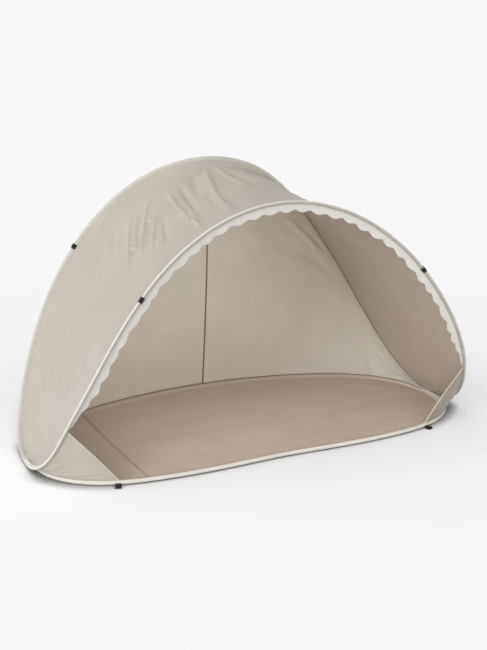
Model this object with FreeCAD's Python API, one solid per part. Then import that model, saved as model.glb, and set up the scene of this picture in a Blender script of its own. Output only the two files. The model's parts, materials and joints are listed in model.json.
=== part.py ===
import FreeCAD, Part
import math
import os

# Pop-up beach shelter: two spring-steel rings, each bent over at the two ground corners, with fabric between.
# Millimetres, +Z up. The open front faces -Y, X runs from corner to corner, the ground is Z = 0.
# Both rings are cut where they flex, on one fold line that joins the two corners, so the shelter is
# four half hoops that close like a book: rear floor hoop, rear hoop, front hoop, front floor hoop.

V = FreeCAD.Vector

# Ring and sleeve sections
WIRE_R = 2.0
SLEEVE_R = 11.0
SLEEVE_BORE_R = 5.5
FERRULE_R = 4.0
FERRULE_BORE_R = 2.5
FERRULE_LENGTH = 45.0

# Sheets
SHEET = 2.0
SEWN_GAP = 3.0
CANOPY_SAG = 38.0
WALL_SAG = 19.0
GUSSET_SAG = 6.0
FULL_SAG_SPAN = 600.0
TRIM_DEPTH = 42.0
TRIM_CURL = 1.0
HEM_R = 3.0
TAPE_R = 2.0
SEAM_WIDTH = 9.0
SEAM_THICKNESS = 0.8

# Tapes, as distances from the sleeve and from the sheet
TAPE_OUT = 6.0
TAPE_LIFT = 5.0
CENTRE_SEAM_INSET = SLEEVE_R + 13.0
FLOOR_SEAM_START = 6.0
FLOOR_SEAM_STOP = SLEEVE_R + 18.0

# Webbing: straps round the canopy hoops' sleeves, and loops that stand out from the floor ring
TAB_WIDTH = 25.0
TAB_LAYER = 1.4
TAB_GAP = 0.4
TAB_LENGTH = 30.0
TAB_EYE_R = 3.0
TAB_STITCHED = 8.0
TAB_DROOP = 0.12
STRAP_BACK = 6.0
STRAP_SLACK = 6.0

# Half hoops, from the right-hand corner to the middle: half span, distance behind the fold line, height.
CORNER_X = 1105.0
FLOOR_CORNER_X = 1076.0
LIE = SLEEVE_R
REAR_HOOP = [
    (CORNER_X, 0, LIE), (1104, 50, LIE), (1100, 130, 24), (1080, 230, 75), (1005, 400, 255),
    (925, 495, 440), (820, 555, 645), (560, 570, 1000), (280, 510, 1210), (0, 475, 1270),
]
FRONT_HOOP = [
    (CORNER_X, 0, LIE), (1104, -50, LIE), (1098, -150, 28), (1060, -305, 120), (1005, -410, 275),
    (925, -470, 450), (765, -485, 715), (555, -460, 950), (295, -435, 1110), (0, -425, 1170),
]
FLOOR_REAR = [
    (FLOOR_CORNER_X, 0, LIE), (1045, 160, LIE), (905, 350, LIE), (670, 485, LIE),
    (405, 560, LIE), (180, 592, LIE), (0, 600, LIE),
]
FLOOR_FRONT = [
    (FLOOR_CORNER_X, 0, LIE), (1055, -190, LIE), (980, -300, LIE), (865, -380, LIE),
    (625, -438, LIE), (365, -450, LIE), (150, -443, LIE), (0, -438, LIE),
]

# The fold line lies at the top of the floor sheet. Each half hoop stops short of it, with room to turn.
# The sheets sag towards a point above the middle of that line.
FOLD_Z = SHEET
INSIDE_HEIGHT = 350.0
CANOPY_END = 8.0
FLOOR_END = 66.0
CORNER_WRAP_HALF = 60.0
FLOOR_SPLIT = 0.5

# Places along a half hoop, as the fraction of the whole hoop's length from either corner
PANEL_START = 0.050
WALL_START = 0.050
GUSSET_START = 0.055
GUSSET_ON_HOOP = 0.137
GUSSET_FOOT_START = 0.075
GUSSET_ON_FLOOR = 0.200
TRIM_START = 0.156
TAPE_START = 0.070
FRONT_TAB_AT = 0.300
REAR_TAB_AT = 0.295
FLOOR_FRONT_TAB_AT = 0.205
FLOOR_REAR_TAB_AT = 0.205
FLOOR_SHEET_START = 0.020
FLOOR_SHEET_CORNER = 20.0
FLOOR_SEAM_X = 680.0
FLOOR_SEAM_REAR_SPREAD = 0.045
FLOOR_SEAM_FRONT_SPREAD = 0.13

# A tube's path is made of straight runs joined by arcs, which take up a share of each run. An odd
# number of runs leaves a straight one at the middle, where the ferrule sits. The corners between runs
# are pushed out, so that the arcs which round them off still lie on the curve.
TUBE_RUNS = 33
ARC_SHARE = 0.48
CORNER_PUSH = 0.25
SHEET_RUNS = 18
FINE = 400


def both_sides(half):
    """The whole hoop's stations, from the left-hand corner to the right-hand one."""
    left = [V(-x, y, z) for x, y, z in half[:-1]]
    right = [V(x, y, z) for x, y, z in reversed(half)]
    return left + right


def fine_points(half, other):
    """Evenly spaced points along one half of the closed ring that two half hoops make.

    The ring is drawn three times over, so that its middle turn runs smoothly through both corners.
    """
    there = both_sides(half)
    back = [V(-p.x, p.y, p.z) for p in both_sides(other)][1:-1]
    stations = (there + back) * 3 + there[:1]
    places = [0.0]
    for a, b in zip(stations, stations[1:]):
        places.append(places[-1] + (b - a).Length)
    turn = len(there + back)
    ring = Part.BSplineCurve()
    ring.interpolate(Points=stations, Parameters=places)
    middle = ring.toShape(places[turn], places[turn + len(there) - 1])
    return middle.discretize(Number=FINE + 1)


# The origin is the middle of the shelter's depth, so the fold line lies off it.
FOREMOST = min(p.y for p in fine_points(FRONT_HOOP, REAR_HOOP)) - SLEEVE_R
REARMOST = max(p.y for p in fine_points(FLOOR_REAR, FLOOR_FRONT)) + SLEEVE_R
FOLD_Y = -(FOREMOST + REARMOST) / 2


class Hoop:
    """One half hoop, measured by the fraction of its length from the left-hand corner."""

    def __init__(self, half, other, end):
        self.points = [p + V(0, FOLD_Y, 0) for p in fine_points(half, other)]
        self.length = sum((b - a).Length for a, b in zip(self.points, self.points[1:]))
        self.end = end / self.length

    def at(self, fraction):
        place = min(max(fraction, 0.0), 1.0) * FINE
        low = min(int(place), FINE - 1)
        return self.points[low] + (self.points[low + 1] - self.points[low]) * (place - low)

    def along(self, fraction):
        step = 1.0 / FINE
        return unit(self.at(fraction + step) - self.at(fraction - step))

    def span(self, start, stop, count):
        return [start + (stop - start) * i / count for i in range(count + 1)]

    def beside(self, fraction, towards):
        """A point off the hoop's side by the sleeve and the sewn gap, in the direction of another point."""
        place = self.at(fraction)
        return place + across(towards - place, self.along(fraction)) * (SLEEVE_R + SEWN_GAP)

    def path(self):
        """The corners between the straight runs of a tube that follows the hoop."""
        points = [self.at(f) for f in self.span(self.end, 1 - self.end, TUBE_RUNS)]
        corners = points[:1]
        for before, point, after in zip(points, points[1:], points[2:]):
            corners.append(point + (point - (before + after) * 0.5) * CORNER_PUSH)
        return corners + points[-1:]


def unit(vector):
    return vector * (1.0 / vector.Length)


def across(vector, direction):
    """The part of a vector that is square to a direction, at unit length."""
    return unit(vector - direction * vector.dot(direction))


def rounded_path(points):
    """Short straight runs joined by tangent arcs."""
    edges = []
    last = points[0]
    for before, corner, after in zip(points, points[1:], points[2:]):
        enter = unit(corner - before)
        leave = unit(after - corner)
        reach = ARC_SHARE * min((corner - before).Length, (after - corner).Length)
        half_turn = enter.getAngle(leave) / 2
        radius = reach / math.tan(half_turn)
        middle = corner + unit(leave - enter) * (radius * (1 / math.cos(half_turn) - 1))
        start = corner - enter * reach
        stop = corner + leave * reach
        edges.append(Part.LineSegment(last, start).toShape())
        edges.append(Part.Arc(start, middle, stop).toShape())
        last = stop
    edges.append(Part.LineSegment(last, points[-1]).toShape())
    return Part.Wire(edges)


def tube(points, radius, bore=0.0):
    """A round tube or bar along the points."""
    path = rounded_path(points)
    direction = points[1] - points[0]
    face = Part.Face(Part.Wire(Part.makeCircle(radius, points[0], direction)))
    if bore:
        inner = Part.Face(Part.Wire(Part.makeCircle(bore, points[0], direction)))
        face = face.cut(inner).Faces[0]
    return path.makePipe(face)


def section(start, stop, normal, sag, thickness):
    """The closed outline of one cut across a sheet, bowed by the sag along the normal."""
    half = normal * (thickness / 2)
    middle = (start + stop) * 0.5 + normal * sag
    upper = Part.Arc(start + half, middle + half, stop + half).toShape()
    end = Part.LineSegment(stop + half, stop - half).toShape()
    lower = Part.Arc(stop - half, middle - half, start - half).toShape()
    close = Part.LineSegment(start - half, start + half).toShape()
    return Part.Wire([upper, end, lower, close])


def sheet(one, ones, other, others, sag):
    """A bowed sheet between places on two hoops, which sags towards the inside."""
    first = [one.beside(f, other.at(g)) for f, g in zip(ones, others)]
    second = [other.beside(g, one.at(f)) for f, g in zip(ones, others)]
    middles = [(a + b) * 0.5 for a, b in zip(first, second)]
    last = len(middles) - 1
    wires = []
    for i, (a, b) in enumerate(zip(first, second)):
        run = middles[min(i + 1, last)] - middles[max(i - 1, 0)]
        normal = unit((b - a).cross(run))
        if normal.dot(INSIDE - middles[i]) < 0:
            normal = -normal
        depth = sag * min(1.0, (b - a).Length / FULL_SAG_SPAN)
        wires.append(section(a, b, normal, depth, SHEET))
    return Part.makeLoft(wires, True, True)


rear = Hoop(REAR_HOOP, FRONT_HOOP, CANOPY_END)
front = Hoop(FRONT_HOOP, REAR_HOOP, CANOPY_END)
floor_rear = Hoop(FLOOR_REAR, FLOOR_FRONT, FLOOR_END)
floor_front = Hoop(FLOOR_FRONT, FLOOR_REAR, FLOOR_END)
INSIDE = V(0, FOLD_Y, INSIDE_HEIGHT)


def hoop_tube(hoop, radius, bore=0.0):
    return tube(hoop.path(), radius, bore)


def ferrule(hoop):
    """The crimped steel sleeve that joins the ring's two ends, at the middle of a hoop."""
    stations = hoop.path()
    before = stations[TUBE_RUNS // 2]
    after = stations[TUBE_RUNS // 2 + 1]
    axis = unit(after - before)
    start = (before + after) * 0.5 - axis * (FERRULE_LENGTH / 2)
    outer = Part.makeCylinder(FERRULE_R, FERRULE_LENGTH, start, axis)
    return outer.cut(Part.makeCylinder(FERRULE_BORE_R, FERRULE_LENGTH, start, axis))


def canopy():
    fractions = front.span(PANEL_START, 1 - PANEL_START, 2 * SHEET_RUNS)
    return sheet(front, fractions, rear, fractions, CANOPY_SAG)


def mirrored(shape, side):
    return shape if side < 0 else shape.mirror(V(0, 0, 0), V(1, 0, 0))


def wall_half(side):
    """The left-hand or right-hand half of the back wall, up to the centre seam."""
    fractions = rear.span(WALL_START, 0.5 - SHEET / rear.length, SHEET_RUNS)
    return mirrored(sheet(rear, fractions, floor_rear, fractions, WALL_SAG), side)


def wall_centre_seam():
    """A flat tape down the middle of the wall, on its inner face."""
    top = rear.at(0.5)
    foot = floor_rear.at(0.5)
    width = unit(foot - top)
    normal = across(INSIDE - (top + foot) * 0.5, width)
    lift = SHEET / 2 + SEWN_GAP / 2
    wires = []
    for x in (-SEAM_WIDTH / 2, SEAM_WIDTH / 2):
        shift = V(x, 0, 0) + normal * lift
        start = top + width * CENTRE_SEAM_INSET + shift
        stop = foot - width * CENTRE_SEAM_INSET + shift
        wires.append(section(start, stop, normal, WALL_SAG, SEAM_THICKNESS))
    return Part.makeLoft(wires, True, True)


def inner_tape(hoop, other):
    """A thin taped seam beside a hoop, on the inner face of the wall that runs to the other hoop."""
    points = []
    for f in hoop.span(TAPE_START, 1 - TAPE_START, TUBE_RUNS):
        place = hoop.at(f)
        width = across(other.at(f) - place, hoop.along(f))
        normal = hoop.along(f).cross(width)
        if normal.dot(INSIDE - place) < 0:
            normal = -normal
        points.append(place + width * (SLEEVE_R + TAPE_OUT) + normal * TAPE_LIFT)
    return tube(points, TAPE_R)


def gusset_fractions(count):
    """Matching places on the front hoop and on the front floor hoop."""
    on_hoop = front.span(GUSSET_START, GUSSET_ON_HOOP, count)
    on_floor = floor_front.span(GUSSET_FOOT_START, GUSSET_ON_FLOOR, count)
    return on_hoop, on_floor


def gusset(side):
    on_hoop, on_floor = gusset_fractions(SHEET_RUNS // 2)
    return mirrored(sheet(front, on_hoop, floor_front, on_floor, GUSSET_SAG), side)


def gusset_hem(side):
    """The round rolled hem on the gusset's free edge."""
    on_hoop, on_floor = gusset_fractions(SHEET_RUNS // 2)
    tops = [front.beside(f, floor_front.at(g)) for f, g in zip(on_hoop, on_floor)][-2:]
    feet = [floor_front.beside(g, front.at(f)) for f, g in zip(on_hoop, on_floor)][-2:]
    width = unit(feet[1] - tops[1])
    ahead = across((tops[1] + feet[1]) - (tops[0] + feet[0]), width) * (HEM_R + SEWN_GAP / 3)
    hem = Part.makeCylinder(HEM_R, (feet[1] - tops[1]).Length, tops[1] + ahead, width)
    return mirrored(hem, side)


def trim():
    """The valance that hangs inside the front hoop, here a plain band of the scallops' full depth."""
    centre = V(0, FOLD_Y + FRONT_HOOP[-1][1], INSIDE.z)
    wires = []
    for f in front.span(TRIM_START, 1 - TRIM_START, 2 * SHEET_RUNS):
        place = front.at(f)
        along = front.along(f)
        inward = across(centre - place, along)
        normal = along.cross(inward)
        start = place + inward * (SLEEVE_R + SEWN_GAP)
        wires.append(section(start, start + inward * TRIM_DEPTH, normal, TRIM_CURL, SHEET))
    return Part.makeLoft(wires, True, True)


def floor_half(hoop):
    """One half of the floor sheet, flat on the ground, from the fold line to its half hoop."""
    side = 1 if hoop is floor_rear else -1
    inset = SLEEVE_R + SEWN_GAP
    split = FOLD_Y + side * FLOOR_SPLIT
    corner = FLOOR_CORNER_X - FLOOR_SHEET_CORNER
    points = [V(-corner, split, 0)]
    for f in hoop.span(FLOOR_SHEET_START, 1 - FLOOR_SHEET_START, 2 * SHEET_RUNS):
        inward = V(0, 0, -side).cross(hoop.along(f))
        place = hoop.at(f) + inward * inset
        points.append(V(place.x, place.y, 0))
    points.append(V(corner, split, 0))
    edge = Part.BSplineCurve()
    edge.interpolate(Points=points)
    close = Part.LineSegment(points[-1], points[0])
    return Part.Face(Part.Wire([edge.toShape(), close.toShape()])).extrude(V(0, 0, SHEET))


def floor_seam(side, hoop):
    """A flat tape across the floor, near one end, on one half of it."""
    half = 1 if hoop is floor_rear else -1
    spread = FLOOR_SEAM_REAR_SPREAD if hoop is floor_rear else FLOOR_SEAM_FRONT_SPREAD
    near = FLOOR_SEAM_START
    meets = min(hoop.points, key=lambda p: abs(p.x - FLOOR_SEAM_X))
    far = abs(meets.y - FOLD_Y) - FLOOR_SEAM_STOP
    corners = []
    for away, edge in ((near, -1), (far, -1), (far, 1), (near, 1)):
        x = FLOOR_SEAM_X + half * away * spread + edge * SEAM_WIDTH / 2
        corners.append(V(side * x, FOLD_Y + half * away, SHEET + SEAM_THICKNESS / 2))
    return Part.Face(Part.makePolygon(corners + corners[:1])).extrude(V(0, 0, SEAM_THICKNESS))


def corner_wrap(side):
    """The stitched fabric wrap that carries the floor ring round the corner, across the fold line."""
    middle = V(side * FLOOR_CORNER_X, FOLD_Y, LIE)
    straight = CORNER_WRAP_HALF - SLEEVE_R
    bar = Part.makeCylinder(SLEEVE_R, 2 * straight, middle - V(0, straight, 0), V(0, 1, 0))
    ends = [Part.makeSphere(SLEEVE_R, middle + V(0, s * straight, 0)) for s in (-1, 1)]
    return bar.fuse(ends).removeSplitter()


def webbing(hoop, fraction, outward, outline):
    """Webbing of the full width, extruded along a hoop from an outline of straight and round edges.

    The outline's points are (out from the hoop's centreline, up across it), and a round edge has three.
    """
    along = hoop.along(fraction)
    up = along.cross(outward)
    base = hoop.at(fraction) - along * (TAB_WIDTH / 2)
    edges = []
    for corners in outline:
        spots = [base + outward * x + up * z for x, z in corners]
        edges.append((Part.Arc if len(spots) == 3 else Part.LineSegment)(*spots).toShape())
    return Part.Face(Part.Wire(edges)).extrude(along * TAB_WIDTH)


def floor_loop(hoop, fraction):
    """A strip folded into a drop-shaped loop for a peg, which stands out from the floor ring."""
    away = across(hoop.at(fraction) - V(0, FOLD_Y, LIE), hoop.along(fraction))
    outward = unit(away - V(0, 0, TAB_DROOP))
    start = SLEEVE_R + TAB_GAP
    tip = start + TAB_LENGTH
    eye = tip - TAB_LAYER - TAB_EYE_R
    wide = TAB_EYE_R + TAB_LAYER
    fork = start + TAB_STITCHED
    outside = webbing(hoop, fraction, outward, [
        ((start, TAB_LAYER), (eye, wide)),
        ((eye, wide), (tip, 0), (eye, -wide)),
        ((eye, -wide), (start, -TAB_LAYER)),
        ((start, -TAB_LAYER), (start, TAB_LAYER)),
    ])
    hole = webbing(hoop, fraction, outward, [
        ((fork, 0), (eye, TAB_EYE_R)),
        ((eye, TAB_EYE_R), (tip - TAB_LAYER, 0), (eye, -TAB_EYE_R)),
        ((eye, -TAB_EYE_R), (fork, 0)),
    ])
    return outside.cut(hole)


def hoop_strap(hoop, fraction, fabrics):
    """A strip round a hoop's sleeve for a guy line, open where the fabrics leave the hoop, slack outside."""
    place = hoop.at(fraction)
    along = hoop.along(fraction)
    leave = [across(p - place, along) for p in fabrics]
    outward = -unit(leave[0] + leave[1])
    near = SLEEVE_R + TAB_GAP
    far = near + TAB_LAYER
    return webbing(hoop, fraction, outward, [
        ((-STRAP_BACK, far), (STRAP_SLACK, far)),
        ((STRAP_SLACK, far), (STRAP_SLACK + far, 0), (STRAP_SLACK, -far)),
        ((STRAP_SLACK, -far), (-STRAP_BACK, -far)),
        ((-STRAP_BACK, -far), (-STRAP_BACK, -near)),
        ((-STRAP_BACK, -near), (STRAP_SLACK, -near)),
        ((STRAP_SLACK, -near), (STRAP_SLACK + near, 0), (STRAP_SLACK, near)),
        ((STRAP_SLACK, near), (-STRAP_BACK, near)),
        ((-STRAP_BACK, near), (-STRAP_BACK, far)),
    ])


NODES = {
    "rear_hoop_wire": hoop_tube(rear, WIRE_R),
    "front_hoop_wire": hoop_tube(front, WIRE_R),
    "floor_rear_wire": hoop_tube(floor_rear, WIRE_R),
    "floor_front_wire": hoop_tube(floor_front, WIRE_R),
    "canopy_ring_ferrule": ferrule(rear),
    "floor_ring_ferrule": ferrule(floor_rear),
    "rear_hoop_sleeve": hoop_tube(rear, SLEEVE_R, SLEEVE_BORE_R),
    "front_hoop_sleeve": hoop_tube(front, SLEEVE_R, SLEEVE_BORE_R),
    "floor_rear_sleeve": hoop_tube(floor_rear, SLEEVE_R, SLEEVE_BORE_R),
    "floor_front_sleeve": hoop_tube(floor_front, SLEEVE_R, SLEEVE_BORE_R),
    "canopy_panel": canopy(),
    "wall_centre_seam": wall_centre_seam(),
    "wall_top_tape": inner_tape(rear, floor_rear),
    "wall_foot_tape": inner_tape(floor_rear, rear),
    "scalloped_trim": trim(),
    "floor_sheet_rear": floor_half(floor_rear),
    "floor_sheet_front": floor_half(floor_front),
}

for side, name in ((-1, "left"), (1, "right")):
    NODES["back_wall_" + name] = wall_half(side)
    NODES["gusset_" + name] = gusset(side)
    NODES["gusset_hem_" + name] = gusset_hem(side)
    NODES["corner_wrap_" + name] = corner_wrap(side)
    NODES["floor_seam_rear_" + name] = floor_seam(side, floor_rear)
    NODES["floor_seam_front_" + name] = floor_seam(side, floor_front)
    front_at = FRONT_TAB_AT if side < 0 else 1 - FRONT_TAB_AT
    rear_at = REAR_TAB_AT if side < 0 else 1 - REAR_TAB_AT
    floor_front_at = FLOOR_FRONT_TAB_AT if side < 0 else 1 - FLOOR_FRONT_TAB_AT
    floor_rear_at = FLOOR_REAR_TAB_AT if side < 0 else 1 - FLOOR_REAR_TAB_AT
    front_fabrics = (rear.at(front_at), INSIDE)
    rear_fabrics = (front.at(rear_at), floor_rear.at(rear_at))
    NODES["peg_loop_front_hoop_" + name] = hoop_strap(front, front_at, front_fabrics)
    NODES["peg_loop_rear_hoop_" + name] = hoop_strap(rear, rear_at, rear_fabrics)
    NODES["peg_loop_floor_front_" + name] = floor_loop(floor_front, floor_front_at)
    NODES["peg_loop_floor_rear_" + name] = floor_loop(floor_rear, floor_rear_at)

os.makedirs("parts", exist_ok=True)
for node, shape in NODES.items():
    if not shape.isValid():
        print("not valid:", node)
    shape.exportStep("parts/" + node + ".step")

print("fold line at y =", round(FOLD_Y, 2), "and z =", FOLD_Z)
print("hoop lengths:", [round(h.length) for h in (rear, front, floor_rear, floor_front)])
print("solids:", {node: len(shape.Solids) for node, shape in NODES.items() if len(shape.Solids) != 1})
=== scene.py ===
import json
import math

import bpy
import numpy as np
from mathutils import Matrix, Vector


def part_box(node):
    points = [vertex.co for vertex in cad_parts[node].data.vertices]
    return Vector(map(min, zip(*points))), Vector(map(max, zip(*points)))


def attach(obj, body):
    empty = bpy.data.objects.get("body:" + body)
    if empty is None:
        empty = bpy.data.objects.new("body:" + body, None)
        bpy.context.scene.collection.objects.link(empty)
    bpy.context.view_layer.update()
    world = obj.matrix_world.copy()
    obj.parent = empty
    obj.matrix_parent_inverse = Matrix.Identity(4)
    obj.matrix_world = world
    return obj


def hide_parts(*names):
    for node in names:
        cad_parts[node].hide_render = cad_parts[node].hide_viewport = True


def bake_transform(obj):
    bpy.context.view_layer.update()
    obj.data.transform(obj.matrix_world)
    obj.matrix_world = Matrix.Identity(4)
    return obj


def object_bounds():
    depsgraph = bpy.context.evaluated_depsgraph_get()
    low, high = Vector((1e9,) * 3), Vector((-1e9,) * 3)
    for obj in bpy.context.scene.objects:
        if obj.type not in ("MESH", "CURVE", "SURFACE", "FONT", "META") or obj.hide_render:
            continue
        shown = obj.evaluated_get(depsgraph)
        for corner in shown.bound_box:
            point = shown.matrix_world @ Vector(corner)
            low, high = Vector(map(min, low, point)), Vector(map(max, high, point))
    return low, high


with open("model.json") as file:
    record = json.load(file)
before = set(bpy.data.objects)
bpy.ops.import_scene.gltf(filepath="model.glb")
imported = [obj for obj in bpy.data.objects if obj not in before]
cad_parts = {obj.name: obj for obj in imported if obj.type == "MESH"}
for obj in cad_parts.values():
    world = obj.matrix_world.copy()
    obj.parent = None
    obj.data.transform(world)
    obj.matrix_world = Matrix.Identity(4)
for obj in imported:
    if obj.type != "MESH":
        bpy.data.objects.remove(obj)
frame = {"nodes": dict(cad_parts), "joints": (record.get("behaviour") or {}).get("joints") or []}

# Pop-up beach shelter. The sprung rings' centrelines are read from the CAD wires, and every sheet, sleeve,
# seam, strap and scallop is built between them, in metres. A hoop is measured by the fraction of its length
# from the left-hand corner (0) to the right-hand one (1).

CAD_LO, CAD_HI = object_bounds()
FOLD = np.array(frame["joints"][0]["pos_m"])
INSIDE = FOLD + (0, 0, 0.35)
RING_GAP = 0.006

CLOTH = 0.0008
SEAM_DEPTH = 0.010
SLEEVE_EDGE = 0.006


# -------- lines


def unit(v):
    return v / np.maximum(np.linalg.norm(v, axis=-1, keepdims=True), 1e-12)


def square(v, direction):
    """The part of each vector that is square to a direction, at unit length."""
    return unit(v - direction * np.sum(v * direction, axis=-1, keepdims=True))


def smooth(x):
    x = np.clip(x, 0, 1)
    return x * x * (3 - 2 * x)


def points_of(thing):
    co = np.zeros(len(thing.data.vertices) * 3)
    thing.data.vertices.foreach_get("co", co)
    return co.reshape(-1, 3)


def centreline(node):
    """The middles of a CAD wire's rings of vertices, from its left-hand end to its right-hand one."""
    co = points_of(frame["nodes"][node])
    turn = np.arctan2(np.hypot(co[:, 1] - FOLD[1], co[:, 2]), co[:, 0])
    rings = []
    for p in co[np.argsort(-turn)]:
        if rings and np.linalg.norm(p - rings[-1][0]) < RING_GAP:
            rings[-1].append(p)
        else:
            rings.append([p])
    return np.array([np.unique(np.round(r, 6), axis=0).mean(0) for r in rings])


def lengths_along(points):
    """How far along a line each of its points is."""
    steps = np.linalg.norm(np.diff(points, axis=0), axis=1)
    return np.concatenate([[0], np.cumsum(steps)])


def closed_spline(knots, per):
    """A smooth closed line through evenly spaced knots, with several points for each."""
    n = len(knots)
    system = 4 * np.eye(n) + np.roll(np.eye(n), 1, 1) + np.roll(np.eye(n), -1, 1)
    after = np.roll(knots, -1, 0)
    bend = np.linalg.solve(system, 6 * (after - 2 * knots + np.roll(knots, 1, 0)))
    bend_after = np.roll(bend, -1, 0)
    rows = []
    for t in np.arange(per) / per:
        s = 1 - t
        rows.append(s * knots + t * after + (s**3 - s) / 6 * bend + (t**3 - t) / 6 * bend_after)
    return np.stack(rows, 1).reshape(-1, 3)


class Hoop:
    """A line from corner to corner, read by the fraction of its length."""

    def __init__(self, points):
        self.points = points
        self.place = lengths_along(points)
        self.length = self.place[-1]

    def at(self, f):
        spots = np.clip(f, 0, 1) * self.length
        return np.stack([np.interp(spots, self.place, self.points[:, k]) for k in range(3)], -1)

    def along(self, f):
        step = 0.003
        return unit(self.at(np.minimum(f + step, 1.0)) - self.at(np.maximum(f - step, 0.0)))


def ring(rear_node, front_node, corners):
    """The two half hoops of a closed ring, bent smoothly round its two corners."""
    knots, per = 44, 12
    left, right = corners
    even = np.linspace(0, 1, knots + 1)
    back = Hoop(np.vstack([left, centreline(rear_node), right])).at(even)
    fore = Hoop(np.vstack([left, centreline(front_node), right])).at(even)
    loop = np.vstack([back[:-1], fore[:0:-1]])
    line = closed_spline(loop, per)
    split = knots * per
    return Hoop(line[: split + 1]), Hoop(np.vstack([line[split:], line[:1]])[::-1])


def box_middle(node):
    lo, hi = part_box(node)
    return np.array((lo + hi) / 2)


rear_ends, front_ends = (centreline(n)[[0, -1]] for n in ("rear_hoop_wire", "front_hoop_wire"))
rear, front = ring("rear_hoop_wire", "front_hoop_wire", (rear_ends + front_ends) / 2)
floor_rear, floor_front = ring(
    "floor_rear_wire", "floor_front_wire",
    (box_middle("corner_wrap_left"), box_middle("corner_wrap_right")),
)


# -------- materials


class Nodes:
    """The node tree of a material or of the world, with short calls for the nodes that they share."""

    def __init__(self, owner):
        self.owner = owner
        owner.use_nodes = True
        self.tree = owner.node_tree
        self.shader = self.tree.nodes.get("Principled BSDF")

    def new(self, kind, **settings):
        node = self.tree.nodes.new(kind)
        for key, value in settings.items():
            setattr(node, key, value)
        return node

    def put(self, value, socket):
        if isinstance(value, bpy.types.NodeSocket):
            self.tree.links.new(value, socket)
        else:
            socket.default_value = value

    def maths(self, operation, a, b=0.0, c=0.0):
        node = self.new("ShaderNodeMath", operation=operation)
        for value, socket in zip((a, b, c), node.inputs):
            self.put(value, socket)
        return node.outputs[0]

    def surface(self, **inputs):
        """Links or constants for the shader's own sockets, with _ for each space in their names."""
        for name, value in inputs.items():
            self.put(value, self.shader.inputs[name.replace("_", " ")])

    def mix(self, factor, a, b):
        node = self.new("ShaderNodeMix", data_type="RGBA")
        self.put(factor, node.inputs[0])
        self.put(a, node.inputs[6])
        self.put(b, node.inputs[7])
        return node.outputs[2]

    def noise(self, vector, scale, detail=3.0, roughness=0.55):
        node = self.new("ShaderNodeTexNoise")
        self.put(vector, node.inputs["Vector"])
        node.inputs["Scale"].default_value = scale
        node.inputs["Detail"].default_value = detail
        node.inputs["Roughness"].default_value = roughness
        return node.outputs["Fac"]

    def spread(self, value, low, high, to_low, to_high):
        node = self.new("ShaderNodeMapRange")
        self.put(value, node.inputs[0])
        for socket, number in zip(node.inputs[1:5], (low, high, to_low, to_high)):
            socket.default_value = number
        return node.outputs[0]

    def cloth(self):
        """Metres along and across the cloth, and from its nearest sewn edge."""
        node = self.new("ShaderNodeAttribute", attribute_type="GEOMETRY", attribute_name="cloth")
        parts = self.new("ShaderNodeSeparateXYZ")
        self.tree.links.new(node.outputs["Vector"], parts.inputs[0])
        return node.outputs["Vector"], parts.outputs

    def weave(self, parts, pitch):
        """Over-and-under threads of a plain weave, from 0 to 1."""
        turn = math.pi / pitch
        warp = self.maths("SINE", self.maths("MULTIPLY", parts[0], turn))
        weft = self.maths("SINE", self.maths("MULTIPLY", parts[1], turn))
        return self.maths("MULTIPLY_ADD", self.maths("MULTIPLY", warp, weft), 0.5, 0.5)

    def blotches(self, vector, scale):
        return self.spread(self.noise(vector, scale, detail=4.0), 0.3, 0.7, 0.0, 1.0)

    def bump(self, height, strength, distance, under=None):
        node = self.new("ShaderNodeBump")
        node.inputs["Strength"].default_value = strength
        node.inputs["Distance"].default_value = distance
        self.put(height, node.inputs["Height"])
        if under is not None:
            self.put(under, node.inputs["Normal"])
        return node.outputs["Normal"]


FLECK_SHARE, THREAD_SHARE = 0.10, 0.12
# Width of the band of painted shade along a cloth's sewn edges
SEAM_SHADE_BAND = 0.018
CLOTH_GLOSS = 0.35
RIB_PITCH, STITCH_PITCH = 0.0011, 0.0042
GROOVE_SHADE_SHARE, RIB_SHARE, STITCH_SHARE, WEAR_SHARE = 0.22, 0.10, 0.8, 0.35


def shade(colour, share):
    return tuple(min(1.0, c * share) for c in colour[:3]) + (1.0,)


def fabric(
    name, colour, roughness=0.62, sheen=0.25, pitch=0.0009, depth=0.00012, vary=0.05, seam=0.88, glow=0.0,
):
    """Plain woven cloth: threads, soft blotches, small crumples and a band of painted shade along its sewn
    edges.

    Glow is the share of light that spreads through the thin cloth from its other side.
    """
    m = Nodes(bpy.data.materials.new(name))
    vector, parts = m.cloth()
    tone = m.mix(m.blotches(vector, scale=3.0), shade(colour, 1 - vary), shade(colour, 1 + vary))
    fleck = m.spread(m.noise(vector, scale=900.0, detail=2.0), 0.35, 0.65, 0.0, 1.0)
    tone = m.mix(m.maths("MULTIPLY", fleck, FLECK_SHARE), tone, shade(colour, 0.80))
    weave = m.weave(parts, pitch)
    between = m.maths("SUBTRACT", 1.0, weave)
    tone = m.mix(m.maths("MULTIPLY", between, THREAD_SHARE), tone, shade(colour, 0.75))
    # Painted shade: the cloth darkens towards its sewn edges, by the share 1 - seam
    edge = m.spread(parts[2], 0.0, SEAM_SHADE_BAND, 1.0, 0.0)
    tone = m.mix(m.maths("MULTIPLY", edge, 1 - seam), tone, shade(colour, 0.45))
    rough = m.spread(m.noise(vector, scale=14.0), 0.3, 0.7, roughness - 0.06, roughness + 0.06)
    crumples = m.bump(m.noise(vector, 26.0, 5.0, 0.6), strength=0.35, distance=0.004)
    m.surface(
        Base_Color=tone, Roughness=rough, Normal=m.bump(weave, 0.5, depth, crumples),
        Sheen_Weight=sheen, Sheen_Roughness=0.45, Specular_IOR_Level=CLOTH_GLOSS,
        Subsurface_Weight=glow, Subsurface_Radius=(1.0, 0.85, 0.7), Subsurface_Scale=0.003,
    )
    return m.owner


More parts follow.
